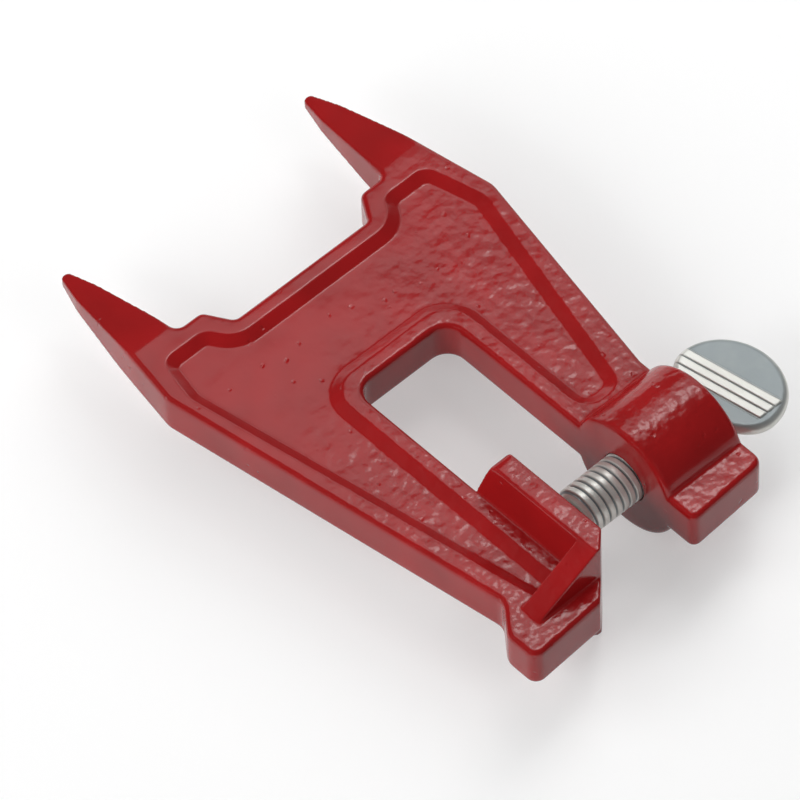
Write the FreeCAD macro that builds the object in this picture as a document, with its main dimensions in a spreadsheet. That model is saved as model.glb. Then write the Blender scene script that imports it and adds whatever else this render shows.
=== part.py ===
import FreeCAD, Part
import math
import os
import re
import Sketcher

# A stump vise that holds a chainsaw's guide bar while its chain is filed. Its two spikes are driven into a
# stump, the bar stands in the throat between the fixed jaw and the screw, and the thumb screw clamps it.
# Millimetres. The origin is on the screw's axis, at the middle of the plate's thickness: +X runs along the
# screw from the fixed jaw to the boss, +Y to the spikes and +Z out of the plate.

SIZES = {
    # The plate and its throat. The plate is alike above and below its middle.
    "plate_thickness": 10.0,
    "edge_rounding": 1.2,
    "crossbar_front": 81.9,
    "throat_back": 51.5,
    "throat_left": 13.4,
    "throat_right": 12.3,
    "throat_corner": 4.3,
    # The two arms flare from the end blocks to the shoulders.
    "left_arm_foot_x": 28.9,
    "left_arm_foot_y": 8.3,
    "left_shoulder_x": 42.5,
    "left_shoulder_y": 76.3,
    "right_arm_foot_y": 16.5,
    "right_shoulder_x": 43.8,
    "right_shoulder_y": 71.0,
    "shoulder_rounding": 6.0,
    # The raised humps beside the spikes.
    "hump_front": 88.2,
    "hump_inner_x": 22.2,
    "hump_foot_x": 18.4,
    "hump_rounding": 1.8,
    # The wedge spikes.
    "spike_root_x": 28.8,
    "spike_root_rounding": 2.2,
    "spike_inner_x": 31.3,
    "spike_outer_x": 37.0,
    "spike_nose_y": 110.0,
    "spike_nose_rounding": 16.0,
    "spike_tip_x": 33.7,
    "spike_tip_y": 121.2,
    "spike_tip_rounding": 1.3,
    "spike_taper_start": 89.5,
    "spike_tip_thickness": 1.0,
    # The sunk fields on both faces, bordered by a rim.
    "field_depth": 1.5,
    "field_slope_run": 2.6,
    "rim_width": 3.6,
    "field_front": 78.2,
    "lobe_front": 84.3,
    "lobe_inner_x": 25.2,
    "lobe_foot_x": 21.6,
    "left_field_foot_x": 24.0,
    "left_field_foot_y": 10.5,
    "left_field_shoulder_x": 39.1,
    "left_field_shoulder_y": 73.0,
    "right_field_foot_x": 27.0,
    "right_field_foot_y": 14.6,
    "right_field_shoulder_x": 40.4,
    "right_field_shoulder_y": 70.0,
    "field_lobe_x": 37.4,
    "field_toe": 0.1,
    "field_corner": 4.0,
    "field_lobe_corner": 1.4,
    "field_foot_corner": 2.4,
    "field_throat_corner": 9.0,
    # The fixed jaw and its gusset.
    "jaw_face_x": 6.75,
    "jaw_reach": 14.0,
    "jaw_back_top_x": 12.0,
    "jaw_back_foot_x": 13.7,
    "jaw_front_y": 15.5,
    "jaw_front_lean": 2.5,
    "jaw_corner": 2.6,
    "jaw_edge_rounding": 0.7,
    "gusset_front_y": 12.2,
    "gusset_back_y": 17.5,
    "gusset_foot_x": 28.0,
    "jaw_chamfer_start_y": 13.6,
    # The end blocks. Their ends lie on one line, a little askew.
    "block_end_y": 21.2,
    "block_end_slant": 0.06,
    "left_block_x": 34.2,
    "left_block_flare_y": 15.0,
    "left_block_inner_x": 15.2,
    "left_block_corner": 2.5,
    "flare_rounding": 4.0,
    "right_block_x": 33.2,
    "right_block_corner": 2.6,
    "right_block_inner_corner": 1.8,
    # The round boss that carries the screw.
    "boss_radius": 14.0,
    "boss_rounding": 1.2,
    # The thumb screw: a 7/16 inch thread with 14 turns to the inch.
    "thread_diameter": 11.1125,
    "thread_pitch": 1.8143,
    "thread_depth": 1.05,
    "thread_crest": 0.32,
    "thread_root": 0.3,
    "thread_start_x": 1.3,
    "thread_run_in": 1.1,
    "bore_clearance": 0.05,
    "collar_gap": 0.8,
    "neck_length": 4.5,
    "neck_sink": 0.2,
    "head_length": 20.9,
    "head_width": 26.3,
    "head_thickness": 3.0,
    "head_rounding": 1.3,
    "rib_band": 6.2,
    "rib_height": 0.55,
    "rib_top": 1.3,
    "rib_end_gap": 2.7,
    "rib_shift": 0.95,
    "rib_turn": 10.6,
    # The swivel pad and the ball that carries it.
    "pad_gap": 0.4,
    "pad_radius": 6.2,
    "pad_rim": 1.6,
    "pad_hub_radius": 4.4,
    "pad_length": 4.4,
    "ball_radius": 2.3,
    "ball_set_back": 2.85,
    "ball_clearance": 0.06,
    "ball_neck_radius": 1.45,
}

# Plain counts, and how near an edge's point has to be to a height or an outline to be taken as on it.
RIB_COUNT = 3
SAME_HEIGHT = 0.001
ON_OUTLINE = 0.01

doc = FreeCAD.newDocument("bar_vise")
sheet = doc.addObject("Spreadsheet::Sheet", "Sizes")
for row, (name, size) in enumerate(SIZES.items(), start=1):
    sheet.set(f"A{row}", name)
    sheet.set(f"B{row}", str(size))
    sheet.setAlias(f"B{row}", name)
doc.recompute()


def cells(formula):
    """Returns a formula written in the sheet's names as the document spells it."""
    return re.sub(r"[a-z]+(_[a-z]+)+", lambda found: "Sizes." + found.group(), str(formula))


def bind(target, path, formula):
    """Ties a property or a sketch's constraint to a formula in the sheet's names."""
    target.setExpression(path, cells(formula))


def origin_part(body, role):
    """Finds a plane or an axis of a body's own origin."""
    return next(item for item in body.Origin.OriginFeatures if item.Role == role)


def new_sketch(body, name, plane, offset=None):
    """Adds a sketch on one of the body's planes, moved along the plane's normal by a formula."""
    sketch = body.newObject("Sketcher::SketchObject", name)
    sketch.AttachmentSupport = (origin_part(body, plane), [""])
    sketch.MapMode = "FlatFace"
    if offset is not None:
        bind(sketch, ".AttachmentOffset.Base.z", offset)
    return sketch


def draw_outline(sketch, corners):
    """Draws a closed outline. Each corner is a pair of formulas, or three with its rounding's radius."""
    count = len(corners)
    for index in range(count):
        angle = 2 * math.pi * index / count
        following = 2 * math.pi * (index + 1) / count
        start = FreeCAD.Vector(math.cos(angle), math.sin(angle), 0)
        end = FreeCAD.Vector(math.cos(following), math.sin(following), 0)
        sketch.addGeometry(Part.LineSegment(start, end), False)
    for index in range(count):
        sketch.addConstraint(Sketcher.Constraint("Coincident", index, 2, (index + 1) % count, 1))
    for index, corner in enumerate(corners):
        for kind, formula in zip(("DistanceX", "DistanceY"), corner[:2]):
            number = sketch.addConstraint(Sketcher.Constraint(kind, -1, 1, index, 1, 1.0))
            bind(sketch, f"Constraints[{number}]", formula)
    doc.recompute()
    for index, corner in enumerate(corners):
        if len(corner) == 3:
            round_corner(sketch, index, corner[2])
    doc.recompute()


def round_corner(sketch, index, radius):
    """Rounds the corner at the start of a side, and ties the arc's radius to a formula."""
    sketch.fillet(index, 1, SIZES[radius], True, True)
    arc = next(number for number in reversed(range(sketch.GeometryCount))
               if sketch.Geometry[number].TypeId == "Part::GeomArcOfCircle")
    number = sketch.addConstraint(Sketcher.Constraint("Radius", arc, SIZES[radius]))
    bind(sketch, f"Constraints[{number}]", radius)


def extrude(body, kind, name, sketch, length, both_ways=False, reverse=False):
    """Adds a pad or a pocket of a sketch, with its length bound to a formula."""
    feature = body.newObject("PartDesign::" + kind, name)
    feature.Profile = sketch
    feature.Midplane = both_ways
    feature.Reversed = reverse
    bind(feature, "Length", length)
    sketch.Visibility = False
    doc.recompute()
    return feature


def edges_where(shape, wanted):
    """Names the edges of a shape whose every end and middle point passes a test."""
    names = []
    for number, edge in enumerate(shape.Edges, start=1):
        middle = edge.valueAt((edge.FirstParameter + edge.LastParameter) / 2)
        points = [vertex.Point for vertex in edge.Vertexes] + [middle]
        if all(wanted(point) for point in points):
            names.append(f"Edge{number}")
    return names


def round_edges(body, name, base, radius, wanted):
    """Rounds those edges of a feature that pass a test."""
    feature = body.newObject("PartDesign::Fillet", name)
    feature.Base = (base, edges_where(base.Shape, wanted))
    bind(feature, "Radius", radius)
    base.Visibility = False
    doc.recompute()
    return feature


def mirror_feature(body, name, features, plane):
    """Repeats features on the other side of one of the body's planes."""
    mirror = body.newObject("PartDesign::Mirrored", name)
    mirror.Originals = features
    mirror.MirrorPlane = (origin_part(body, plane), [""])
    body.Tip = mirror
    doc.recompute()
    return mirror


def draw_circle(sketch, radius):
    """Draws a circle about the sketch's origin, with its radius bound to a formula."""
    sketch.addGeometry(Part.Circle(FreeCAD.Vector(0, 0, 0), FreeCAD.Vector(0, 0, 1), 5), False)
    sketch.addConstraint(Sketcher.Constraint("Coincident", 0, 3, -1, 1))
    number = sketch.addConstraint(Sketcher.Constraint("Radius", 0, 5.0))
    bind(sketch, f"Constraints[{number}]", radius)
    doc.recompute()


def draw_oval(sketch, centre_x, length, width):
    """Draws an oval centred on the sketch's x axis. Its centre is a formula and a first guess at it."""
    formula, guess = centre_x
    half_length = SIZES[length] / 2
    half_width = SIZES[width] / 2
    middle = FreeCAD.Vector(guess, 0, 0)
    far = middle + FreeCAD.Vector(0, half_width, 0)
    side = middle + FreeCAD.Vector(half_length, 0, 0)
    sketch.addGeometry(Part.Ellipse(far, side, middle), False)
    sketch.exposeInternalGeometry(0)
    tall = 1 if sketch.Geometry[1].StartPoint.y > 0 else 2
    wide = 1 if sketch.Geometry[2].StartPoint.x > middle.x else 2
    sketch.addConstraint(Sketcher.Constraint("PointOnObject", 0, 3, -1))
    held = [
        ("DistanceX", 0, 3, guess, formula),
        ("DistanceX", 1, tall, guess, formula),
        ("DistanceY", 1, tall, half_width, f"{width} / 2"),
        ("DistanceX", 2, wide, guess + half_length, f"{formula} + {length} / 2"),
    ]
    for kind, line, end, start, size in held:
        number = sketch.addConstraint(Sketcher.Constraint(kind, -1, 1, line, end, start))
        bind(sketch, f"Constraints[{number}]", size)
    doc.recompute()


def revolve(body, kind, name, sketch):
    """Turns a profile once about the screw's axis."""
    feature = body.newObject("PartDesign::" + kind, name)
    feature.Profile = sketch
    feature.ReferenceAxis = (origin_part(body, "X_Axis"), [""])
    feature.Angle = 360.0
    sketch.Visibility = False
    doc.recompute()
    return feature


def add_ball(body, kind, name, centre_x, radius):
    """Adds or takes away a ball on the screw's axis."""
    ball = body.newObject("PartDesign::" + kind, name)
    bind(ball, "Radius", radius)
    ball.AttachmentSupport = (origin_part(body, "XY_Plane"), [""])
    ball.MapMode = "FlatFace"
    bind(ball, ".AttachmentOffset.Base.x", centre_x)
    doc.recompute()
    return ball


PAD_FACE = "(pad_gap - jaw_face_x)"
BALL_CENTRE = f"({PAD_FACE} + ball_set_back)"
HEAD_START = "(right_block_x + collar_gap)"
HEAD_CENTRE = f"({HEAD_START} + head_length / 2)"

# Lengths that only have to pass right through what they cut.
THROUGH_SPIKES = "4 * right_shoulder_x"
THROUGH_JAW = "2.2 * throat_left"
THROUGH_HEIGHT = "3 * jaw_reach"
THROUGH_BOSS = "2 * right_block_x"


def build_vise_body():
    body = doc.addObject("PartDesign::Body", "ViseBody")
    body.Label = "vise_body"
    half_plate = "plate_thickness / 2"

    outline = new_sketch(body, "PlateOutline", "XY_Plane")
    draw_outline(outline, [
        ("-jaw_face_x", "-(block_end_y + block_end_slant * jaw_face_x)"),
        ("-jaw_face_x", "jaw_front_y"),
        ("-throat_left", "jaw_front_y"),
        ("-throat_left", "throat_back", "throat_corner"),
        ("throat_right", "throat_back", "throat_corner"),
        ("throat_right", "-(block_end_y - block_end_slant * throat_right)", "right_block_inner_corner"),
        ("right_block_x", "-(block_end_y - block_end_slant * right_block_x)", "right_block_corner"),
        ("right_block_x", "right_arm_foot_y"),
        ("right_shoulder_x", "right_shoulder_y", "shoulder_rounding"),
        ("spike_outer_x", "spike_nose_y", "spike_nose_rounding"),
        ("spike_tip_x", "spike_tip_y", "spike_tip_rounding"),
        ("spike_inner_x", "spike_nose_y", "spike_nose_rounding"),
        ("spike_root_x", "hump_front", "spike_root_rounding"),
        ("hump_inner_x", "hump_front", "hump_rounding"),
        ("hump_foot_x", "crossbar_front", "hump_rounding"),
        ("-hump_foot_x", "crossbar_front", "hump_rounding"),
        ("-hump_inner_x", "hump_front", "hump_rounding"),
        ("-spike_root_x", "hump_front", "spike_root_rounding"),
        ("-spike_inner_x", "spike_nose_y", "spike_nose_rounding"),
        ("-spike_tip_x", "spike_tip_y", "spike_tip_rounding"),
        ("-spike_outer_x", "spike_nose_y", "spike_nose_rounding"),
        ("-left_shoulder_x", "left_shoulder_y", "shoulder_rounding"),
        ("-left_arm_foot_x", "-left_arm_foot_y", "flare_rounding"),
        ("-left_block_x", "-left_block_flare_y", "flare_rounding"),
        ("-left_block_x", "-(block_end_y + block_end_slant * left_block_x)", "left_block_corner"),
    ])
    plate = extrude(body, "Pad", "Plate", outline, "plate_thickness", both_ways=True)
    half = SIZES["plate_thickness"] / 2
    plate = round_edges(body, "PlateEdges", plate, "edge_rounding",
                        lambda point: abs(abs(point.z) - half) < SAME_HEIGHT)

    # The spikes keep the plate's width of face and thin to a chisel's tip.
    wedge = new_sketch(body, "WedgeOutline", "YZ_Plane")
    draw_outline(wedge, [
        ("spike_taper_start", half_plate),
        ("spike_tip_y", "spike_tip_thickness / 2"),
        ("spike_tip_y", "plate_thickness"),
        ("spike_taper_start", "plate_thickness"),
    ])
    cut = extrude(body, "Pocket", "WedgeCut", wedge, THROUGH_SPIKES, both_ways=True)
    plate = mirror_feature(body, "WedgeCuts", [cut], "XY_Plane")

    # One sunk field runs under both humps and down both arms. Its sides slope down from the rim to the floor.
    field = new_sketch(body, "FieldOutline", "XY_Plane", half_plate)
    rim = "rim_width + field_slope_run"
    draw_outline(field, [
        (f"-(throat_left + {rim})", "-left_field_foot_y"),
        (f"-(throat_left + {rim})", f"throat_back + {rim}", "field_throat_corner"),
        (f"throat_right + {rim}", f"throat_back + {rim}", "field_throat_corner"),
        (f"throat_right + {rim}", "right_field_foot_y + field_slope_run", "field_foot_corner"),
        ("right_field_foot_x - field_slope_run", "right_field_foot_y + field_slope_run", "field_foot_corner"),
        ("right_field_shoulder_x - field_slope_run", "right_field_shoulder_y", "field_corner"),
        ("field_lobe_x - field_slope_run", "lobe_front - field_slope_run", "field_lobe_corner"),
        ("lobe_inner_x + field_slope_run / 2", "lobe_front - field_slope_run", "field_lobe_corner"),
        ("lobe_foot_x + field_slope_run / 2", "field_front - field_slope_run", "field_throat_corner"),
        ("-(lobe_foot_x + field_slope_run / 2)", "field_front - field_slope_run", "field_throat_corner"),
        ("-(lobe_inner_x + field_slope_run / 2)", "lobe_front - field_slope_run", "field_lobe_corner"),
        ("-(field_lobe_x - field_slope_run)", "lobe_front - field_slope_run", "field_lobe_corner"),
        ("-(left_field_shoulder_x - field_slope_run)", "left_field_shoulder_y", "field_corner"),
        ("-(left_field_foot_x - field_slope_run)", "-left_field_foot_y"),
    ])
    cut = extrude(body, "Pocket", "FieldCut", field, "field_depth")
    plate = mirror_feature(body, "FieldCuts", [cut], "XY_Plane")

    def on_field_rim(point):
        over = Part.Vertex(point.x, point.y, half)
        return abs(abs(point.z) - half) < SAME_HEIGHT and field.Shape.distToShape(over)[0] < ON_OUTLINE

    slopes = body.newObject("PartDesign::Chamfer", "FieldSlopes")
    slopes.Base = (plate, edges_where(plate.Shape, on_field_rim))
    slopes.ChamferType = "Two distances"
    bind(slopes, "Size", "field_slope_run")
    bind(slopes, "Size2", "field_depth - field_toe")
    doc.recompute()

    # The fixed jaw stands above and below the plate, backed by a gusset that slopes down to the left arm.
    jaw = new_sketch(body, "JawOutline", "XZ_Plane", "-jaw_front_y")
    draw_outline(jaw, [
        ("-jaw_face_x", "-jaw_reach", "jaw_edge_rounding"),
        ("-jaw_face_x", "jaw_reach", "jaw_edge_rounding"),
        ("-jaw_back_top_x", "jaw_reach", "jaw_edge_rounding"),
        ("-jaw_back_foot_x", half_plate),
        ("-jaw_back_foot_x", "-" + half_plate),
        ("-jaw_back_top_x", "-jaw_reach", "jaw_edge_rounding"),
    ])
    extrude(body, "Pad", "Jaw", jaw, "jaw_front_y + gusset_back_y")
    gusset = new_sketch(body, "GussetOutline", "XZ_Plane", "gusset_front_y")
    draw_outline(gusset, [
        ("-jaw_face_x - 2 * jaw_edge_rounding", "jaw_reach"),
        ("-jaw_back_top_x + jaw_edge_rounding", "jaw_reach"),
        ("-gusset_foot_x", half_plate),
        ("-gusset_foot_x", "-" + half_plate),
        ("-jaw_back_top_x + jaw_edge_rounding", "-jaw_reach"),
        ("-jaw_face_x - 2 * jaw_edge_rounding", "-jaw_reach"),
    ])
    extrude(body, "Pad", "Gusset", gusset, "gusset_back_y - gusset_front_y")
    lean = new_sketch(body, "JawLean", "YZ_Plane")
    draw_outline(lean, [
        ("jaw_front_y", half_plate),
        ("jaw_front_y - jaw_front_lean", "jaw_reach", "jaw_corner"),
        ("jaw_front_y - 3 * jaw_front_lean", "jaw_reach"),
        ("jaw_front_y - 3 * jaw_front_lean", "2 * jaw_reach"),
        ("2 * jaw_front_y", "2 * jaw_reach"),
        ("2 * jaw_front_y", half_plate),
    ])
    cut = extrude(body, "Pocket", "JawLeanCut", lean, THROUGH_JAW, both_ways=True)
    mirror_feature(body, "JawLeanCuts", [cut], "XY_Plane")

    # The boss and the right block share one inner face with the arm.
    boss = new_sketch(body, "BossProfile", "XZ_Plane")
    draw_outline(boss, [
        ("throat_right", "0"),
        ("throat_right", "boss_radius", "boss_rounding"),
        ("right_block_x", "boss_radius", "boss_rounding"),
        ("right_block_x", "0"),
    ])
    revolve(body, "Revolution", "Boss", boss)

    # A slanting cut takes the corner off the jaw and the left block alike.
    corner = new_sketch(body, "JawChamfer", "XY_Plane")
    slant = "left_block_inner_x - jaw_face_x"
    draw_outline(corner, [
        ("-jaw_face_x", "-jaw_chamfer_start_y"),
        (f"-jaw_face_x - 2 * ({slant})", f"-jaw_chamfer_start_y - 2 * ({slant})"),
        ("jaw_face_x", f"-jaw_chamfer_start_y - 2 * ({slant})"),
        ("jaw_face_x", "-jaw_chamfer_start_y"),
    ])
    extrude(body, "Pocket", "JawChamferCut", corner, THROUGH_HEIGHT, both_ways=True)

    bore = new_sketch(body, "BoreOutline", "YZ_Plane")
    draw_circle(bore, "thread_diameter / 2 + bore_clearance")
    extrude(body, "Pocket", "Bore", bore, THROUGH_BOSS, reverse=True)
    return body


def build_thumb_screw():
    body = doc.addObject("PartDesign::Body", "ThumbScrew")
    body.Label = "thumb_screw"
    crest = "thread_diameter / 2"
    shank = new_sketch(body, "ShankProfile", "XZ_Plane")
    draw_outline(shank, [
        (BALL_CENTRE, "0"),
        (BALL_CENTRE, "ball_neck_radius"),
        ("-thread_start_x", "ball_neck_radius"),
        ("-thread_start_x", f"{crest} - thread_run_in"),
        ("thread_run_in - thread_start_x", crest),
        (HEAD_START, crest),
        (f"{HEAD_START} + neck_length", "head_thickness / 2 - neck_sink"),
        (f"{HEAD_START} + neck_length", "0"),
    ])
    revolve(body, "Revolution", "Shank", shank)
    add_ball(body, "AdditiveSphere", "Ball", BALL_CENTRE, "ball_radius")

    groove = new_sketch(body, "ThreadGroove", "XZ_Plane")
    half_mouth = "(thread_pitch - thread_crest) / 2"
    draw_outline(groove, [
        (f"-thread_start_x - thread_pitch - {half_mouth}", f"{crest} + bore_clearance"),
        (f"-thread_start_x - thread_pitch + {half_mouth}", f"{crest} + bore_clearance"),
        ("-thread_start_x - thread_pitch + thread_root / 2", f"{crest} - thread_depth"),
        ("-thread_start_x - thread_pitch - thread_root / 2", f"{crest} - thread_depth"),
    ])
    thread = body.newObject("PartDesign::SubtractiveHelix", "Thread")
    thread.Profile = groove
    thread.ReferenceAxis = (origin_part(body, "X_Axis"), [""])
    thread.Mode = "pitch-height-angle"
    bind(thread, "Pitch", "thread_pitch")
    bind(thread, "Height", "right_block_x + thread_start_x + thread_pitch")
    doc.recompute()

    oval = new_sketch(body, "HeadOutline", "XY_Plane")
    head_start = SIZES["right_block_x"] + SIZES["collar_gap"]
    draw_oval(oval, (HEAD_CENTRE, head_start + SIZES["head_length"] / 2), "head_length", "head_width")
    head = extrude(body, "Pad", "Head", oval, "head_thickness", both_ways=True)
    face = SIZES["head_thickness"] / 2
    head = round_edges(body, "HeadRim", head, "head_rounding",
                       lambda point: abs(abs(point.z) - face) < SAME_HEIGHT and point.x > head_start)

    # The grip ribs run across the head, out of square, with V grooves between them. They end nearer to one
    # side of the rim than to the other.
    ribs = new_sketch(body, "RibOutline", "XZ_Plane")
    ribs.AttachmentOffset = FreeCAD.Placement(FreeCAD.Vector(), FreeCAD.Rotation(FreeCAD.Vector(0, 1, 0), 1))
    bind(ribs, ".AttachmentOffset.Base.x", HEAD_CENTRE)
    bind(ribs, ".AttachmentOffset.Base.z", "-rib_shift")
    bind(ribs, ".AttachmentOffset.Rotation.Angle", "rib_turn")
    base = "head_thickness / 2"
    pitch = f"(rib_band / {RIB_COUNT})"
    corners = []
    for rib in range(RIB_COUNT):
        left = f"-rib_band / 2 + {rib} * {pitch}"
        middle = f"{left} + {pitch} / 2"
        corners.append((left, base))
        corners.append((f"{middle} - rib_top / 2", f"{base} + rib_height"))
        corners.append((f"{middle} + rib_top / 2", f"{base} + rib_height"))
    corners.append(("rib_band / 2", base))
    corners.append(("rib_band / 2", "head_thickness / 4"))
    corners.append(("-rib_band / 2", "head_thickness / 4"))
    draw_outline(ribs, corners)
    ribs = extrude(body, "Pad", "Ribs", ribs, "head_width - 2 * rib_end_gap", both_ways=True)
    mirror_feature(body, "RibsBelow", [ribs], "XY_Plane")
    return body


def build_swivel_pad():
    body = doc.addObject("PartDesign::Body", "SwivelPad")
    body.Label = "swivel_pad"
    profile = new_sketch(body, "PadProfile", "XZ_Plane")
    draw_outline(profile, [
        (PAD_FACE, "0"),
        (PAD_FACE, "pad_radius"),
        (f"{PAD_FACE} + pad_rim", "pad_radius"),
        (f"{PAD_FACE} + pad_rim", "pad_hub_radius"),
        (f"{PAD_FACE} + pad_length", "pad_hub_radius"),
        (f"{PAD_FACE} + pad_length", "0"),
    ])
    revolve(body, "Revolution", "Shoe", profile)
    add_ball(body, "SubtractiveSphere", "Socket", BALL_CENTRE, "ball_radius + ball_clearance")
    return body


bodies = [build_vise_body(), build_thumb_screw(), build_swivel_pad()]
doc.recompute()
for thing in doc.Objects:
    if "Invalid" in thing.State or "Error" in thing.State:
        raise ValueError(f"{thing.Name} is {thing.State}")
for body in bodies:
    if body.Shape.isNull() or not body.Shape.isValid() or len(body.Shape.Solids) != 1:
        raise ValueError(f"{body.Label} isn't one sound solid")

os.makedirs("parts", exist_ok=True)
for body in bodies:
    body.Shape.exportStep(f"parts/{body.Label}.step")
    print(body.Label, round(body.Shape.Volume, 1), "mm3")
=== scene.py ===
"""A stump vise for a chainsaw's guide bar, dressed over its CAD frame. Metres, in the frame's own axes."""

import math

import bmesh
import bpy
import numpy as np
from mathutils import Matrix, Vector


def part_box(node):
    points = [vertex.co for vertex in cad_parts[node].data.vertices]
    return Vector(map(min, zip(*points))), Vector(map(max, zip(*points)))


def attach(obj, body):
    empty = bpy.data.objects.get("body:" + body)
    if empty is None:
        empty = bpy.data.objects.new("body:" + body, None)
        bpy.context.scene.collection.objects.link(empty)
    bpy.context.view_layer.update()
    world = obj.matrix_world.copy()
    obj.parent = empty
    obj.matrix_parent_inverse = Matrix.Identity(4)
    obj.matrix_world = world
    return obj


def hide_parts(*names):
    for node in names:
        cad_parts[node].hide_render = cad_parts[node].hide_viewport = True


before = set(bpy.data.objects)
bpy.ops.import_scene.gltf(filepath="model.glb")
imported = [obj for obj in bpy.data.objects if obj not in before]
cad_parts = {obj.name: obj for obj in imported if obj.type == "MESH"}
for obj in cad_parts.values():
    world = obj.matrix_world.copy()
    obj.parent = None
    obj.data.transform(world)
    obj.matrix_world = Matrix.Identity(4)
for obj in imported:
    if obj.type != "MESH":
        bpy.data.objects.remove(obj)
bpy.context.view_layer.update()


# The body
# One steel casting, poured in sand and painted with red gloss enamel. The sand leaves it softly rounded at
# every edge and corner, and the paint flows over the grain of its skin.

WELD_GAP = 0.000002
SKIN_DEPTH = 9
SKIN_SCALE = 0.99
SKIN_SHARE_KEPT = 0.28
MOVE_IN = 0.5
MOVE_OUT = -0.2
CAST_ROUNDS = 11
JAW_CORNER = (-0.0105, 0.0125, 0.0135)
JAW_CORNER_REACH = 0.003
JAW_CORNER_ROUNDS = 24
TIP_START = 0.098

# The enamel's colours and gloss, and the widths and heights of its waves, grain and pits.
RED_DEEP = "#8D1516"
RED_LIGHT = "#9B1719"
ENAMEL_ROUGHNESS = 0.18
ENAMEL_IOR = 1.5
WAVE_WIDTH = 0.011
WAVE_HEIGHT = 0.0003
GRAIN_WIDTH = 0.0031
GRAIN_HEIGHT = 0.00038
DRIFT_WIDTH = 0.016
DRIFT_SHIFT = 0.03
SCREW_SIDE_WEIGHT = 0.6
FAINT_BEFORE = -0.064
FULL_AFTER = -0.026
FAINT_GRAIN = 0.15
SIDE_BELOW = 0.7
LEVEL_ABOVE = 0.98
SIDE_GRAIN = 0.06
PIT_SPACING = 0.0046
PIT_RADIUS_SHARE = 0.15
PIT_DEPTH = 0.00014
PIT_STRENGTH = 0.8
PITS_LEFT_OUT = 0.3
SWIRL_WIDTH = 0.0022
SWIRL_SHIFT = 0.0016


def linear(code):
    """Turns an sRGB hex colour into the linear values that the sockets hold."""
    parts = [int(code[i:i + 2], 16) / 255 for i in (1, 3, 5)]
    return [v / 12.92 if v <= 0.04045 else ((v + 0.055) / 1.055) ** 2.4 for v in parts] + [1.0]


def add_node(tree, kind, settings=None, links=None):
    """Adds a node. A setting goes to the socket of its name or to the node itself, a link to a socket."""
    node = tree.nodes.new(kind)
    for name, value in (settings or {}).items():
        if isinstance(name, int) or name in node.inputs:
            node.inputs[name].default_value = value
        else:
            setattr(node, name, value)
    for name, source in (links or {}).items():
        tree.links.new(source, node.inputs[name])
    return node


def new_material(name):
    """Starts an empty material and returns it with its tree and its object coordinates."""
    material = bpy.data.materials.new(name)
    material.use_nodes = True
    tree = material.node_tree
    tree.nodes.clear()
    place = add_node(tree, "ShaderNodeTexCoord").outputs["Object"]
    return material, tree, place


def moved_to_neighbours(points, ends, shares):
    """Moves each point by a share of the way to the mean of its neighbours, once for each share given."""
    count = np.bincount(ends.ravel(), minlength=len(points))[:, None]
    for share in shares:
        total = np.zeros_like(points)
        for axis in range(3):
            total[:, axis] = (np.bincount(ends[:, 0], points[ends[:, 1], axis], len(points))
                              + np.bincount(ends[:, 1], points[ends[:, 0], axis], len(points)))
        points = points + share * (total / count - points)
    return points


def soften_casting(node):
    """Copies a CAD node as an even skin of small squares and rounds it as a sand casting is rounded.

    The skin's squares are 0.28 mm wide, the node's length over the scale and over 2 to the depth, and they
    keep its edges. Each round moves every point halfway to the mean of its neighbours and a fifth of the way
    back out, and the jaw's two free corners get more rounds. The spikes' tips, which that shortens, are drawn
    out again: the shift grows as the square of the way along. At the end the skin is thinned out where it is
    flat.
    """
    piece = bpy.data.objects.new(node.name + "_casting", node.data.copy())
    bpy.context.scene.collection.objects.link(piece)
    shell = bmesh.new()
    shell.from_mesh(piece.data)
    bmesh.ops.remove_doubles(shell, verts=shell.verts, dist=WELD_GAP)
    shell.to_mesh(piece.data)
    shell.free()
    remesh = piece.modifiers.new("even skin", "REMESH")
    remesh.mode = "SHARP"
    remesh.octree_depth = SKIN_DEPTH
    remesh.scale = SKIN_SCALE
    remesh.use_smooth_shade = True
    skin = bpy.data.meshes.new_from_object(piece.evaluated_get(bpy.context.evaluated_depsgraph_get()))
    piece.modifiers.clear()
    piece.data = skin
    points = np.zeros(len(skin.vertices) * 3)
    skin.vertices.foreach_get("co", points)
    points = points.reshape(-1, 3)
    ends = np.zeros(len(skin.edges) * 2, int)
    skin.edges.foreach_get("vertices", ends)
    ends = ends.reshape(-1, 2)
    folded = np.column_stack([points[:, 0], points[:, 1], np.abs(points[:, 2])])
    from_corner = np.abs(folded - JAW_CORNER).max(1) / JAW_CORNER_REACH
    at_corner = np.clip(2 - 2 * from_corner, 0, 1)[:, None]
    corner_moves = [MOVE_IN * at_corner, MOVE_OUT * at_corner]
    points = moved_to_neighbours(points, ends, [MOVE_IN, MOVE_OUT] * CAST_ROUNDS)
    points = moved_to_neighbours(points, ends, corner_moves * JAW_CORNER_ROUNDS)
    low, high = (np.array(corner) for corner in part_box(node.name))
    reach = points[:, 1].max()
    along = np.clip((points[:, 1] - TIP_START) / (reach - TIP_START), 0, 1)
    points[:, 1] += (high[1] - reach) * along ** 2
    points = np.clip(points, low, high)
    skin.vertices.foreach_set("co", points.ravel())
    skin.shade_smooth()
    skin.update()
    thinned = piece.modifiers.new("thinned out", "DECIMATE")
    thinned.ratio = SKIN_SHARE_KEPT
    return piece


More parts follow.
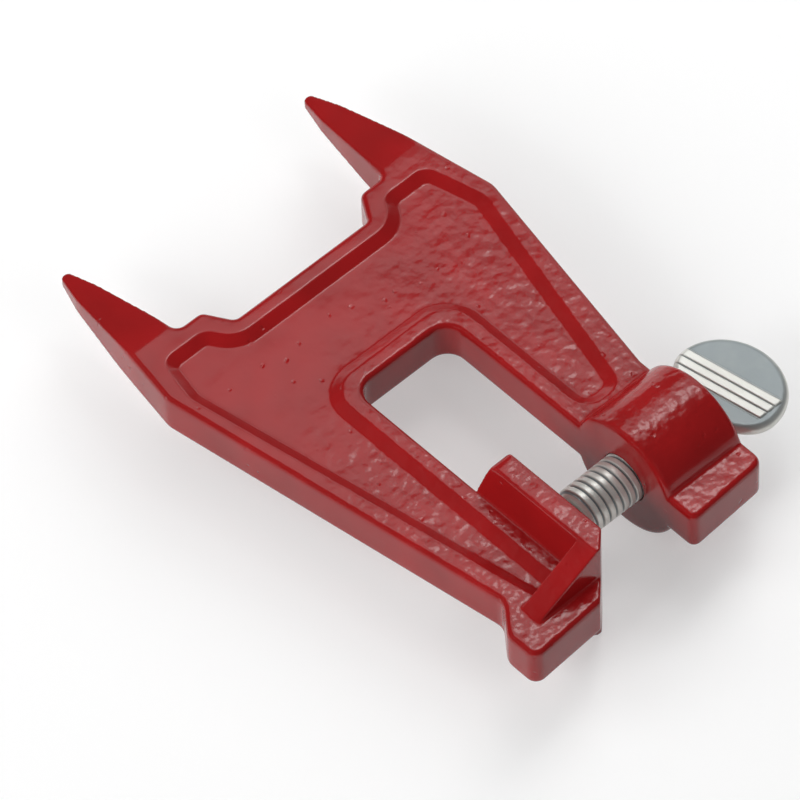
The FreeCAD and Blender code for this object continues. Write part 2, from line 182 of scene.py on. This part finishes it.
# Gloss enamel, sprayed on a sand-cast skin. The grain under it breaks each reflection into a pink mottle, and
# longer waves roll under that. The grain is faint in the broad field and full towards the jaw and the screw.
enamel, tree, place = new_material("gloss_enamel_on_sand_casting")
axes = add_node(tree, "ShaderNodeSeparateXYZ", {}, {"Vector": place})
drift = add_node(tree, "ShaderNodeTexNoise", {"Scale": 1 / DRIFT_WIDTH, "Detail": 2.0}, {"Vector": place})
drift_shift = add_node(tree, "ShaderNodeMath", {"operation": "MULTIPLY", 1: DRIFT_SHIFT},
                       {0: drift.outputs["Fac"]})
towards_screw = add_node(tree, "ShaderNodeMath", {"operation": "MULTIPLY_ADD", 1: SCREW_SIDE_WEIGHT},
                         {0: axes.outputs["X"], 2: drift_shift.outputs[0]})
towards_clamp = add_node(tree, "ShaderNodeMath", {"operation": "SUBTRACT"},
                         {0: towards_screw.outputs[0], 1: axes.outputs["Y"]})
clamp_end = add_node(tree, "ShaderNodeMapRange",
                     {"interpolation_type": "SMOOTHSTEP", "From Min": FAINT_BEFORE, "From Max": FULL_AFTER,
                      "To Min": FAINT_GRAIN, "To Max": 1.0}, {"Value": towards_clamp.outputs[0]})

# The sides were dressed smooth, so the grain fades where the face isn't level.
facing = add_node(tree, "ShaderNodeNewGeometry")
facing_axes = add_node(tree, "ShaderNodeSeparateXYZ", {}, {"Vector": facing.outputs["Normal"]})
upward = add_node(tree, "ShaderNodeMath", {"operation": "ABSOLUTE"}, {0: facing_axes.outputs["Z"]})
level_face = add_node(tree, "ShaderNodeMapRange",
                      {"interpolation_type": "SMOOTHSTEP", "From Min": SIDE_BELOW, "From Max": LEVEL_ABOVE,
                       "To Min": SIDE_GRAIN, "To Max": 1.0}, {"Value": upward.outputs[0]})
grain_strength = add_node(tree, "ShaderNodeMath", {"operation": "MULTIPLY"},
                          {0: clamp_end.outputs["Result"], 1: level_face.outputs["Result"]})

# Small pits are scattered everywhere. A swirl pulls them out of round, and a draw by cell leaves some out.
swirl = add_node(tree, "ShaderNodeTexNoise", {"Scale": 1 / SWIRL_WIDTH, "Detail": 1.0}, {"Vector": place})
swirled = add_node(tree, "ShaderNodeVectorMath", {"operation": "MULTIPLY_ADD", 1: (SWIRL_SHIFT,) * 3},
                   {0: swirl.outputs["Color"], 2: place})
cells = add_node(tree, "ShaderNodeTexVoronoi", {"Scale": 1 / PIT_SPACING}, {"Vector": swirled.outputs[0]})
bowl = add_node(tree, "ShaderNodeMapRange",
                {"interpolation_type": "SMOOTHSTEP", "From Min": PIT_RADIUS_SHARE, "From Max": 0.0},
                {"Value": cells.outputs["Distance"]})
lot = add_node(tree, "ShaderNodeSeparateColor", {}, {"Color": cells.outputs["Color"]})
drawn = add_node(tree, "ShaderNodeMath", {"operation": "GREATER_THAN", 1: PITS_LEFT_OUT},
                 {0: lot.outputs["Red"]})
pit = add_node(tree, "ShaderNodeMath", {"operation": "MULTIPLY"},
               {0: bowl.outputs["Result"], 1: drawn.outputs[0]})

waves = add_node(tree, "ShaderNodeTexNoise", {"Scale": 1 / WAVE_WIDTH, "Detail": 1.0}, {"Vector": place})
grain = add_node(tree, "ShaderNodeTexNoise", {"Scale": 1 / GRAIN_WIDTH, "Detail": 1.7, "Roughness": 0.5},
                 {"Vector": place})
tone = add_node(tree, "ShaderNodeValToRGB", {}, {"Fac": waves.outputs["Fac"]})
tone.color_ramp.elements[0].position = 0.3
tone.color_ramp.elements[0].color = linear(RED_DEEP)
tone.color_ramp.elements[1].position = 0.7
tone.color_ramp.elements[1].color = linear(RED_LIGHT)
rolling = add_node(tree, "ShaderNodeBump", {"Strength": 1.0, "Distance": WAVE_HEIGHT},
                   {"Height": waves.outputs["Fac"]})
grained = add_node(tree, "ShaderNodeBump", {"Distance": GRAIN_HEIGHT},
                   {"Strength": grain_strength.outputs[0], "Height": grain.outputs["Fac"],
                    "Normal": rolling.outputs["Normal"]})
pitted = add_node(tree, "ShaderNodeBump", {"Strength": PIT_STRENGTH, "Distance": PIT_DEPTH, "invert": True},
                  {"Height": pit.outputs[0], "Normal": grained.outputs["Normal"]})
paint = add_node(tree, "ShaderNodeBsdfPrincipled", {"Roughness": ENAMEL_ROUGHNESS, "IOR": ENAMEL_IOR},
                 {"Base Color": tone.outputs["Color"], "Normal": pitted.outputs["Normal"]})
add_node(tree, "ShaderNodeOutputMaterial", {}, {"Surface": paint.outputs["BSDF"]})

body = soften_casting(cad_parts["vise_body"])
body.data.materials.clear()
body.data.materials.append(enamel)
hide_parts("vise_body")
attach(body, "vise_body")


# The screw's shank
# A steel forging with a rolled thread, 14 turns to the inch, and a ball turned at its tip for the pad.
# Rolling leaves each crest and root a little round.

PITCH = 0.0254 / 14
THREAD_RADIUS = 0.0055562
THREAD_DEPTH = 0.00048
THREAD_START = -0.0013
THREAD_RUN_IN = 0.0011
THREAD_FADE_IN = 0.0004
THREAD_FADE_OUT = 0.0009
ROOT_SHARE = 0.06
FLANK_SHARE = 0.36
# The thread's roots are painted darker, as painted shade in the grooves.
ROOT_PAINTED_SHADE = 0.3
BALL_CENTRE = -0.0035
BALL_RADIUS = 0.0023
BALL_NECK = 0.00145
HEAD_START = 0.034
NECK_END = 0.0388
NECK_TIP = 0.0012
NECK_POWER = 0.8
BALL_STEPS = 24
THREAD_STEPS = 440
NECK_STEPS = 14
ROUND_STEPS = 96
TURN = np.linspace(0, 2 * np.pi, ROUND_STEPS, endpoint=False)
MEETING_GAP = 0.000001

# The plating's colours and gloss, and the widths and heights of its clouds and rumples.
# The bright colour is a painted highlight on crests, ribs and rim, and the dark one is painted shade in
# grooves.
ZINC_DARK = "#6A6F71"
ZINC_FLAT = "#929A9C"
ZINC_BRIGHT = "#E0E0DA"
ZINC_METALLIC = 0.5
ZINC_ROUGHNESS = (0.32, 0.46)
CLOUD_WIDTH = 0.009
CLOUD_TINT = 0.2
RUMPLE_WIDTH = 0.0016
RUMPLE_HEIGHT = 0.00004


def mesh_from_grids(name, grids, closed_rows, marks):
    """Makes one mesh from grids of points, rows by columns, with the columns joined into rings if asked.

    Points that meet are merged, so rings at a pole and edges in common close the shell. The marks, a number
    for each point, go into the attribute "painted_sheen" that the zinc reads: 0 is the darkest, painted
    shade, and 1 is the brightest, a painted highlight.
    """
    faces = []
    first = 0
    for grid in grids:
        number = first + np.arange(grid.shape[0] * grid.shape[1]).reshape(grid.shape[:2])
        ahead = np.roll(number, -1, 1) if closed_rows else number[:, 1:]
        here = number if closed_rows else number[:, :-1]
        faces.append(np.stack([here[:-1], ahead[:-1], ahead[1:], here[1:]], -1).reshape(-1, 4))
        first += number.size
    mesh = bpy.data.meshes.new(name)
    mesh.from_pydata(np.concatenate([grid.reshape(-1, 3) for grid in grids]), [], np.concatenate(faces))
    painted_sheen = mesh.attributes.new("painted_sheen", "FLOAT", "POINT")
    painted_sheen.data.foreach_set("value", np.concatenate([mark.ravel() for mark in marks]))
    shell = bmesh.new()
    shell.from_mesh(mesh)
    bmesh.ops.remove_doubles(shell, verts=shell.verts, dist=MEETING_GAP)
    bmesh.ops.recalc_face_normals(shell, faces=shell.faces)
    shell.to_mesh(mesh)
    shell.free()
    mesh.shade_smooth()
    piece = bpy.data.objects.new(name, mesh)
    bpy.context.scene.collection.objects.link(piece)
    return piece


def turned(x, radius):
    """A profile turned about the screw's axis: each radius times the cosine and the sine of the turn.

    The radius is a column of numbers, or a grid where it also changes with the turn.
    """
    along = x[:, None] + 0 * TURN
    return np.stack([along, radius * np.cos(TURN), radius * np.sin(TURN)], -1)


def threaded_shank():
    """The shank's grid and its painted sheen: ball, neck, thread and the taper into the head, as one turned
    profile.

    In the thread the radius falls from the crest by the depth times a wave. The wave's phase is the distance
    along over the pitch, less the angle over a turn, so its troughs wind into a helix. Each flank is halfway
    between a straight line and a cosine. The thread's end is a cone of 45 degrees, and the taper's radius
    falls as a power of the way along it.
    """
    neck_angle = math.pi - math.asin(BALL_NECK / BALL_RADIUS)
    ball = np.linspace(0, neck_angle, BALL_STEPS)
    ball_x = BALL_CENTRE - BALL_RADIUS * np.cos(ball)
    ball_r = BALL_RADIUS * np.sin(ball)
    thread_x = np.linspace(THREAD_START, HEAD_START, THREAD_STEPS)
    thread_r = np.minimum(THREAD_RADIUS, THREAD_RADIUS - THREAD_RUN_IN + (thread_x - THREAD_START))
    taper = np.linspace(0, 1, NECK_STEPS + 1)[1:]
    neck_x = HEAD_START + (NECK_END - HEAD_START) * taper
    neck_r = THREAD_RADIUS + (NECK_TIP - THREAD_RADIUS) * taper ** NECK_POWER
    x = np.concatenate([ball_x, [THREAD_START], thread_x, neck_x, [NECK_END]])
    r = np.concatenate([ball_r, [BALL_NECK], thread_r, neck_r, [0.0]])[:, None]
    phase = np.mod(x[:, None] / PITCH - TURN / (2 * np.pi), 1)
    rise = np.clip((np.abs(2 * phase - 1) - ROOT_SHARE) / FLANK_SHARE, 0, 1)
    rise = 0.5 * rise + 0.25 * (1 - np.cos(np.pi * rise))
    fade_in = np.clip((x - THREAD_START) / THREAD_FADE_IN, 0, 1)
    fade_out = np.clip((HEAD_START - x) / THREAD_FADE_OUT, 0, 1)
    cut = (fade_in * fade_out)[:, None]
    radius = np.minimum(r, np.where(cut > 0, THREAD_RADIUS - THREAD_DEPTH * (1 - rise) * cut, np.inf))
    # Painted sheen: the crests, ball and neck are painted full bright as a painted highlight, the roots
    # darker as painted shade.
    return turned(x, radius), 1 - (1 - ROOT_PAINTED_SHADE) * (1 - rise) * np.sign(cut)


# Bright zinc plate on forged steel. It is a little blue and softly clouded, so its flat faces are grey rather
# than mirror-like. The crests, the ribs and the rim are painted lighter as a painted highlight, and the
# grooves are painted darker as painted shade.
zinc, tree, place = new_material("bright_zinc_plate_on_forged_steel")
cloud = add_node(tree, "ShaderNodeTexNoise", {"Scale": 1 / CLOUD_WIDTH, "Detail": 3.0}, {"Vector": place})
dull = add_node(tree, "ShaderNodeMapRange", {"To Min": ZINC_ROUGHNESS[0], "To Max": ZINC_ROUGHNESS[1]},
                {"Value": cloud.outputs["Fac"]})
# The painted sheen: painted highlight on crests, ribs and rim, and painted shade in grooves and roots.
painted_sheen = add_node(tree, "ShaderNodeAttribute", {"attribute_name": "painted_sheen"})
shine = add_node(tree, "ShaderNodeMath", {"operation": "MULTIPLY_ADD", 1: CLOUD_TINT},
                 {0: cloud.outputs["Fac"], 2: painted_sheen.outputs["Fac"]})
tone = add_node(tree, "ShaderNodeValToRGB", {}, {"Fac": shine.outputs[0]})
tone.color_ramp.elements[0].position = 0.08
tone.color_ramp.elements[0].color = linear(ZINC_DARK)
tone.color_ramp.elements[1].position = 1.0
tone.color_ramp.elements[1].color = linear(ZINC_BRIGHT)
flat_tone = tone.color_ramp.elements.new(0.58)
flat_tone.color = linear(ZINC_FLAT)
rumple = add_node(tree, "ShaderNodeTexNoise", {"Scale": 1 / RUMPLE_WIDTH, "Detail": 2.0}, {"Vector": place})
rumpled = add_node(tree, "ShaderNodeBump", {"Strength": 0.5, "Distance": RUMPLE_HEIGHT},
                   {"Height": rumple.outputs["Fac"]})
metal = add_node(tree, "ShaderNodeBsdfPrincipled", {"Metallic": ZINC_METALLIC},
                 {"Base Color": tone.outputs["Color"], "Roughness": dull.outputs["Result"],
                  "Normal": rumpled.outputs["Normal"]})
add_node(tree, "ShaderNodeOutputMaterial", {}, {"Surface": metal.outputs["BSDF"]})

grid, marks = threaded_shank()
shank = mesh_from_grids("screw_shank", [grid], True, [marks])
shank.data.materials.append(zinc)
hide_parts("thumb_screw")
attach(shank, "thumb_screw")


# The thumb head
# Forged flat in one with the shank: an oval with a round rim, a little off the screw's axis as the dies left
# it and flatter towards the shank, and three grip ribs pressed across each face.

HEAD_CENTRE = (0.04311, 0.00153)
HEAD_HALF = (0.01178, 0.01315)
HEAD_INNER_HALF = 0.0089
HEAD_FACE = 0.0015
HEAD_GRID = (300, 150)
RIB_TURN = math.radians(10.6)
RIB_PITCH = 0.00212
RIB_COUNT = 3
RIB_SHIFT = 0.0001
RIB_END = -0.0094
RIB_RISE = 0.0003
RIB_SIDE = 0.0003
RIB_END_SLOPE = 0.00035
RIB_RIM_GAP = 0.0002
RIB_RIM_SLOPE = 0.0009
GROOVE_SINK = 0.00005
GROOVE_HALF = 0.00026
# Sheen levels for the zinc's tone: the grooves are painted darker as painted shade, the rim lighter as a
# painted highlight.
GROOVE_PAINTED_SHADE = 0.4
FLAT_SHEEN = 0.48
RIM_PAINTED_HIGHLIGHT = 0.5
MIDDLE_SHARE = 0.5


def head_face(side):
    """One face's grid and its painted sheen, from a square grid whose lines are bowed until its edge is the
    oval.

    The oval is two half ellipses that share their width. The height is the flat face's, falls along a quarter
    circle to nothing at the rim, and adds the ribs: a wave across them with flat tops and V grooves, which
    starts at the far rim and stops short of the near one.
    """
    u = np.sin(np.linspace(-np.pi / 2, np.pi / 2, HEAD_GRID[0]))[:, None]
    v = np.sin(np.linspace(-np.pi / 2, np.pi / 2, HEAD_GRID[1]))[None, :]
    half_length = np.where(u > 0, HEAD_HALF[0], HEAD_INNER_HALF)
    x = half_length * u * np.sqrt(1 - v ** 2 / 2)
    y = HEAD_HALF[1] * v * np.sqrt(1 - u ** 2 / 2)
    share = np.minimum(np.sqrt((x / half_length) ** 2 + (y / HEAD_HALF[1]) ** 2), 1)
    from_rim = (1 - share) * np.sqrt(x ** 2 + y ** 2) / np.maximum(share, MIDDLE_SHARE)
    inset = np.where(share < MIDDLE_SHARE, HEAD_FACE, from_rim)
    fall = np.clip(HEAD_FACE - inset, 0, HEAD_FACE)
    height = np.sqrt(HEAD_FACE ** 2 - fall ** 2)
    y = y + HEAD_CENTRE[1]
    across = (x - RIB_SHIFT) * math.cos(RIB_TURN) + y * math.sin(RIB_TURN)
    half_band = RIB_COUNT * RIB_PITCH / 2
    from_groove = np.abs(np.mod(across + half_band + RIB_PITCH / 2, RIB_PITCH) - RIB_PITCH / 2)
    top = np.clip(from_groove / GROOVE_HALF, 0, 1)
    in_band = np.clip((half_band + RIB_SIDE - np.abs(across)) / RIB_SIDE, 0, 1)
    past_end = np.clip((y - RIB_END) / RIB_END_SLOPE, 0, 1)
    inside_rim = np.clip((inset - RIB_RIM_GAP) / RIB_RIM_SLOPE, 0, 1)
    on_ribs = in_band * past_end * inside_rim
    height = height + (top * (RIB_RISE + GROOVE_SINK) - GROOVE_SINK) * on_ribs
    # Painted highlight on the rib tops and towards the rim, and painted shade in the grooves.
    rib_sheen = GROOVE_PAINTED_SHADE + (1 - GROOVE_PAINTED_SHADE) * top
    marks = FLAT_SHEEN + (rib_sheen - FLAT_SHEEN) * on_ribs + RIM_PAINTED_HIGHLIGHT * (fall / HEAD_FACE) ** 2
    return np.stack([x + HEAD_CENTRE[0], y, side * height], -1), marks


upper, upper_marks = head_face(1)
lower, lower_marks = head_face(-1)
head = mesh_from_grids("thumb_head", [upper, lower], False, [upper_marks, lower_marks])
head.data.materials.append(zinc)
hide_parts("thumb_screw")
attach(head, "thumb_screw")


# The swivel pad
# A small turned steel shoe with a broad face for the bar. Its hub is crimped over the screw's ball, so that
# it swivels, and it is plated as the screw is.

PAD_FACE = -0.00635
PAD_RADIUS = 0.0062
PAD_RIM = 0.0016
PAD_HUB = 0.0044
PAD_LENGTH = 0.0044
PAD_EDGE = 0.0003
PAD_LIP = 0.0009
SOCKET_RADIUS = 0.00236
PAD_POLISH = 0.7
FACE_STEPS = 12
EDGE_STEPS = 7
SOCKET_STEPS = 20


def turned_shoe():
    """The shoe's grid: its face, its rounded rim, the hub, the crimped lip and the socket, as one profile.

    Each edge and the lip is a quarter circle. The socket is a circle about the ball's centre, from the angle
    of its mouth at the shoe's back to the bottom on the axis.
    """
    arc = np.linspace(0, np.pi / 2, EDGE_STEPS)
    swing = 1 - np.cos(arc)
    climb = 1 - np.sin(arc)
    back = PAD_FACE + PAD_LENGTH
    mouth = math.acos((back - BALL_CENTRE) / SOCKET_RADIUS)
    socket = np.linspace(mouth, np.pi, SOCKET_STEPS)
    x = np.concatenate([
        np.full(FACE_STEPS, PAD_FACE), PAD_FACE + PAD_EDGE * swing, PAD_FACE + PAD_RIM - PAD_EDGE * climb,
        PAD_FACE + PAD_RIM + PAD_EDGE * swing, back - PAD_LIP * climb,
        BALL_CENTRE + SOCKET_RADIUS * np.cos(socket)])
    r = np.concatenate([
        np.linspace(0, PAD_RADIUS - PAD_EDGE, FACE_STEPS), PAD_RADIUS - PAD_EDGE * climb,
        PAD_RADIUS - PAD_EDGE * swing, PAD_HUB + PAD_EDGE * climb, PAD_HUB - PAD_LIP * swing,
        SOCKET_RADIUS * np.sin(socket)])
    return turned(x, r[:, None])


grid = turned_shoe()
pad = mesh_from_grids("swivel_shoe", [grid], True, [np.full(grid.shape[:2], PAD_POLISH)])
pad.data.materials.append(zinc)
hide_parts("swivel_pad")
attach(pad, "swivel_pad")


# The studio
# White paper laid on the floor under soft lamps. What shines in the level faces is the wide soft box overhead
# behind the vise, and its bright core draws the glints on the edges. Two dim cards stand low, one behind and
# one at the right.

FLOOR_TOP = -0.01405
FLOOR_HALF = 3.0
PAPER_LIT = 0.5
PAPER_SEEN = 0.97
PAPER_GLOW = 0.4
FILL_STRENGTH = 0.06
MIDDLE = (0, 0.045, 0)
LAMP_DISTANCE = 1.1

corners = np.array([[[-1, -1], [1, -1]], [[-1, 1], [1, 1]]]) * FLOOR_HALF
floor_grid = np.concatenate([corners, np.full((2, 2, 1), FLOOR_TOP)], -1)
floor = mesh_from_grids("paper_floor", [floor_grid], False, [np.zeros((2, 2))])

# Matt white paper. It is bright to the camera and in reflections, and it sends less light back to the vise.
paper, tree, place = new_material("matt_white_studio_paper")
path = add_node(tree, "ShaderNodeLightPath")
seen = add_node(tree, "ShaderNodeMath", {"operation": "MAXIMUM"},
                {0: path.outputs["Is Camera Ray"], 1: path.outputs["Is Glossy Ray"]})
seen = add_node(tree, "ShaderNodeMath", {"operation": "MAXIMUM"},
                {0: seen.outputs[0], 1: path.outputs["Is Transmission Ray"]})
shade = add_node(tree, "ShaderNodeMapRange", {"To Min": PAPER_LIT, "To Max": PAPER_SEEN},
                 {"Value": seen.outputs[0]})
matt = add_node(tree, "ShaderNodeBsdfDiffuse", {}, {"Color": shade.outputs["Result"]})
white = add_node(tree, "ShaderNodeEmission", {"Strength": 1.0})
glow = add_node(tree, "ShaderNodeMath", {"operation": "MULTIPLY", 1: PAPER_GLOW}, {0: seen.outputs[0]})
mixed = add_node(tree, "ShaderNodeMixShader", {},
                 {0: glow.outputs[0], 1: matt.outputs[0], 2: white.outputs[0]})
add_node(tree, "ShaderNodeOutputMaterial", {}, {"Surface": mixed.outputs[0]})
floor.data.materials.append(paper)

world = bpy.data.worlds.new("studio")
bpy.context.scene.world = world
world.use_nodes = True
tree = world.node_tree
tree.nodes.clear()
fill = add_node(tree, "ShaderNodeBackground", {"Color": linear("#FFFFFF"), "Strength": FILL_STRENGTH})
add_node(tree, "ShaderNodeOutputWorld", {}, {"Surface": fill.outputs[0]})


def hang_light(name, spot, aim, shape, width, height, power, shows):
    """Hangs a lamp of so many watts at a spot, turned to its aim. It shows in glossy faces if asked."""
    lamp = bpy.data.lights.new(name, "AREA")
    lamp.shape = shape
    lamp.size = width
    lamp.size_y = height
    lamp.energy = power
    light = bpy.data.objects.new(name, lamp)
    turn = (Vector(spot) - Vector(aim)).to_track_quat("Z", "Y").to_matrix().to_4x4()
    light.matrix_world = Matrix.Translation(Vector(spot)) @ turn
    light.visible_glossy = shows
    bpy.context.scene.collection.objects.link(light)


def on_sphere(azimuth, elevation, distance=LAMP_DISTANCE):
    """The spot at an angle round the vise's middle and above its plane, in degrees, and at a distance."""
    turn = math.radians(azimuth)
    lift = math.radians(elevation)
    return (distance * math.sin(turn) * math.cos(lift),
            MIDDLE[1] - distance * math.cos(turn) * math.cos(lift),
            distance * math.sin(lift))


# These four light the vise from all round and don't show in it.
hang_light("lamp_left_behind", on_sphere(-135, 35), MIDDLE, "SQUARE", 0.6, 0.6, 3.0, False)
hang_light("lamp_left", on_sphere(-90, 28), MIDDLE, "SQUARE", 0.5, 0.5, 7.2, False)
hang_light("lamp_front", on_sphere(0, 35), MIDDLE, "SQUARE", 0.6, 0.6, 2.4, False)
hang_light("lamp_right_behind", on_sphere(120, 35), MIDDLE, "SQUARE", 0.6, 0.6, 5.2, False)

# These four show in the paint and the plating.
hang_light("card_right_behind", on_sphere(118, 30, 1.3), MIDDLE, "SQUARE", 0.7, 0.7, 1.3, True)
hang_light("card_behind", (1.0, 2.7, 0.32), (0.3, 0, 0.32), "RECTANGLE", 3.0, 0.7, 5.0, True)
hang_light("soft_box", (0.22, 0.27, 0.6), (0.22, 0.27, 0), "DISK", 0.5, 0.5, 0.82, True)
hang_light("soft_box_core", (0.27, 0.2, 0.59), (0.27, 0.2, 0), "DISK", 0.16, 0.16, 0.3, True)

# The camera stands at the photograph's angle, far off behind a long lens, and is rolled a little.
CAMERA_AZIMUTH = math.radians(-41.293)
CAMERA_ELEVATION = math.radians(51.948)
CAMERA_ROLL = math.radians(-2.364)
CAMERA_DISTANCE = 2.0
CAMERA_AIM = Vector((-0.006318, 0.045916, 0.0))
CAMERA_LENS = 443.7
CAMERA_SENSOR = 36.0

back = Vector((math.sin(CAMERA_AZIMUTH) * math.cos(CAMERA_ELEVATION),
               -math.cos(CAMERA_AZIMUTH) * math.cos(CAMERA_ELEVATION), math.sin(CAMERA_ELEVATION)))
level = Vector((math.cos(CAMERA_AZIMUTH), math.sin(CAMERA_AZIMUTH), 0.0))
upright = back.cross(level)
across = math.cos(CAMERA_ROLL) * level + math.sin(CAMERA_ROLL) * upright
upright = back.cross(across)
camera = bpy.data.objects.new("camera", bpy.data.cameras.new("camera"))
camera.data.sensor_width = CAMERA_SENSOR
camera.data.lens = CAMERA_LENS
stand = Matrix.Translation(CAMERA_AIM + CAMERA_DISTANCE * back)
camera.matrix_world = stand @ Matrix((across, upright, back)).transposed().to_4x4()
bpy.context.scene.collection.objects.link(camera)
bpy.context.scene.camera = camera
bpy.context.scene.view_settings.view_transform = "Standard"

bpy.context.view_layer.update()
